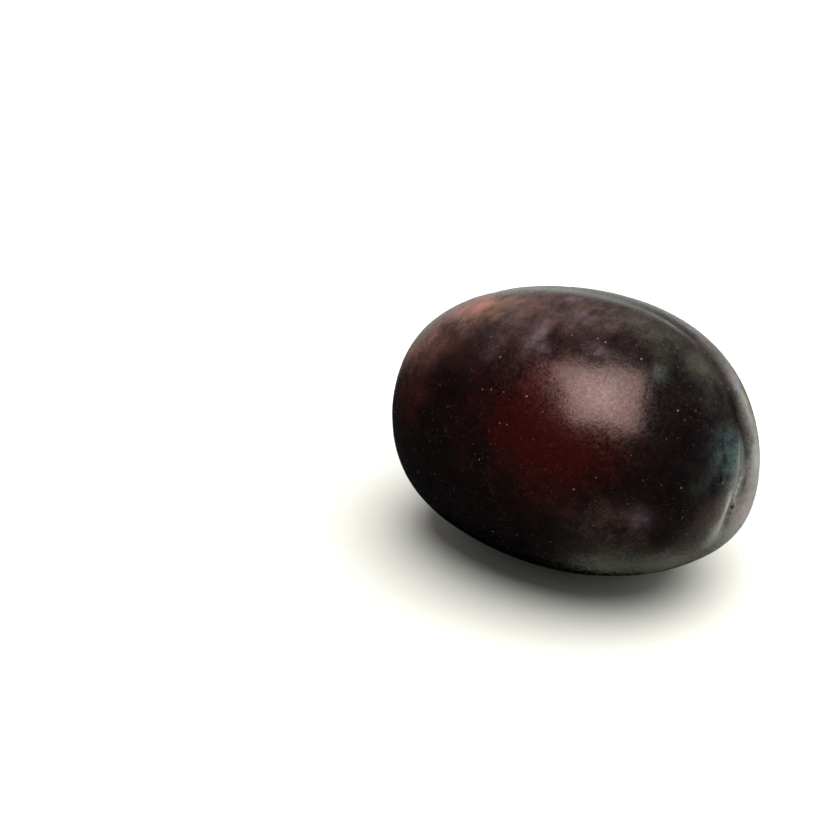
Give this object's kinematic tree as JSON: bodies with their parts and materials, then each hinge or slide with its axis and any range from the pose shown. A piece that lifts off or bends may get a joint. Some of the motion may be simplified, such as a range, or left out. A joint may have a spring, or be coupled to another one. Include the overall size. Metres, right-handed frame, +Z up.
{
  "type": "plum",
  "caption": "Whole ripe oval plum lying on its side: one solid fruit with a suture groove, a stalk cavity with its scar, and a dry tip.",
  "frame": {"origin": "centre of the fruit's box at the level of the flat spot it rests on", "axes": "+Z up, +X along the fruit towards its stalk end, the suture uppermost and leaning towards +Y"},
  "size_m": [0.0606, 0.0442, 0.0442],
  "materials": {
    "skin": "thin waxy fruit skin, dark maroon to blue-black, satin with a patchy grey-blue bloom and fine pale dots"
  },
  "bodies": {
    "root": {"plum": "skin"}
  },
  "joints": []
}
